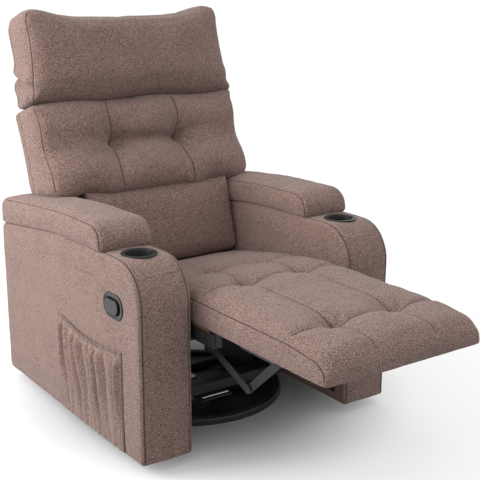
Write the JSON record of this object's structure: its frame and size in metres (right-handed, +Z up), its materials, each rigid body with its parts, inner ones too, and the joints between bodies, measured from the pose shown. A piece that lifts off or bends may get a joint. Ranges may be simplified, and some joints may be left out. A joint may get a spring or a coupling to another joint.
{
  "type": "recliner",
  "caption": "Padded recliner that swivels and glides on a round floor base, with folding footrest, tilting back, cup holders, side pocket and release paddle.",
  "frame": {"origin": "centre of the round base's flat underside, on the floor, on the swivel axis", "axes": "+Z up, the sitter faces -Y, +X to the sitter's left"},
  "size_m": [0.8704, 1.4455, 1.1749],
  "materials": {
    "upholstery": "heathered mauve-brown bouclé weave",
    "black_steel": "satin black powder coat",
    "bright_steel": "bright zinc plate",
    "black_plastic": "satin black moulded",
    "timber": "raw birch ply"
  },
  "bodies": {
    "floor_base": {"base_disc": "black_steel", "base_ring": "black_steel", "lower_race": "bright_steel", "king_post": "bright_steel"},
    "swivel_stand": {"upper_race": "bright_steel", "swivel_plate": "black_steel", "cross_beam_front": "black_steel", "cross_beam_rear": "black_steel", "stop_bar": "bright_steel", "glide_stand_left": "black_steel", "glide_stand_right": "black_steel"},
    "front_glide_links": {"front_glide_link_left": "black_steel", "front_glide_link_right": "black_steel"},
    "rear_glide_links": {"rear_glide_link_left": "black_steel", "rear_glide_link_right": "black_steel"},
    "chair_frame": {"hanger_rail_left": "black_steel", "hanger_rail_right": "black_steel", "hanger_spar_front": "black_steel", "hanger_spar_rear": "black_steel", "side_plate_left": "black_steel", "side_plate_right": "black_steel", "rear_panel": "upholstery", "arm_cover_left": "upholstery", "arm_cover_right": "upholstery", "arm_board_left": "timber", "arm_board_right": "timber", "arm_pad_left": "upholstery", "arm_pad_right": "upholstery", "cup_holder_left": "black_plastic", "cup_holder_right": "black_plastic", "handle_bezel": "black_plastic", "side_pocket": "upholstery"},
    "paddle": {"release_paddle": "black_plastic"},
    "seat_frame": {"seat_rail_left": "black_steel", "seat_rail_right": "black_steel", "seat_front_rail": "upholstery", "seat_rear_rail": "timber", "seat_deck": "timber", "seat_cushion": "upholstery"},
    "footrest": {"footrest_board": "timber", "footrest_cushion": "upholstery", "footrest_bracket_left": "black_steel", "footrest_bracket_right": "black_steel"},
    "rear_linkage_bars": {"rear_linkage_bar_left": "black_steel", "rear_linkage_bar_right": "black_steel"},
    "front_linkage_bars": {"front_linkage_bar_left": "black_steel", "front_linkage_bar_right": "black_steel"},
    "backrest": {"back_stile_left": "timber", "back_stile_right": "timber", "back_low_rail": "timber", "back_middle_rail": "timber", "back_top_rail": "timber", "back_bracket_left": "black_steel", "back_bracket_right": "black_steel", "lower_back_panel": "upholstery", "lumbar_cushion": "upholstery", "middle_cushion": "upholstery", "head_cushion": "upholstery", "middle_back_cover": "upholstery", "head_back_cover": "upholstery"}
  },
  "joints": [
    {"name": "swivel", "type": "hinge", "parent": "floor_base", "child": "swivel_stand", "pos_m": [0, 0, 0.03], "axis": [0, 0, 1], "continuous": true},
    {"name": "glide", "type": "hinge", "parent": "swivel_stand", "child": "front_glide_links", "pos_m": [0, -0.15, 0.21], "axis": [1, 0, 0], "range_deg": [-22, 22]},
    {"name": "glide_rear", "type": "hinge", "parent": "swivel_stand", "child": "rear_glide_links", "pos_m": [0, 0.15, 0.21], "axis": [1, 0, 0], "range_deg": [-22, 22]},
    {"name": "glide_level", "type": "hinge", "parent": "front_glide_links", "child": "chair_frame", "pos_m": [0, -0.15, 0.09], "axis": [1, 0, 0], "range_deg": [-22, 22]},
    {"name": "release", "type": "hinge", "parent": "chair_frame", "child": "paddle", "pos_m": [-0.4265, -0.2745, 0.441], "axis": [0, 0, -1], "range_deg": [0, 25], "stiffness_Nm_per_rad": 0.8, "springref_deg": -8.59},
    {"name": "seat_travel", "type": "slide", "parent": "chair_frame", "child": "seat_frame", "axis": [0, 1, 0], "range_m": [0, 0.1]},
    {"name": "footrest_fold", "type": "hinge", "parent": "seat_frame", "child": "footrest", "pos_m": [0, -0.575, 0.435], "axis": [1, 0, 0], "range_deg": [0, 90]},
    {"name": "rear_bar_fold", "type": "hinge", "parent": "seat_frame", "child": "rear_linkage_bars", "pos_m": [0, -0.455, 0.328], "axis": [1, 0, 0], "range_deg": [0, 90]},
    {"name": "front_bar_fold", "type": "hinge", "parent": "footrest", "child": "front_linkage_bars", "pos_m": [0, -0.74, 0.371], "axis": [1, 0, 0], "range_deg": [-90, 0]},
    {"name": "recline", "type": "hinge", "parent": "seat_frame", "child": "backrest", "pos_m": [0, 0.31, 0.3], "axis": [-1, 0, 0], "range_deg": [0, 28]}
  ],
  "couplings": [
    {"joint": "glide_rear", "follows": "glide", "ratio": 1},
    {"joint": "glide_level", "follows": "glide", "ratio": -1},
    {"joint": "footrest_fold", "follows": "seat_travel", "rad_per_m": 15.708},
    {"joint": "rear_bar_fold", "follows": "seat_travel", "rad_per_m": 15.708},
    {"joint": "front_bar_fold", "follows": "seat_travel", "rad_per_m": -15.708}
  ]
}
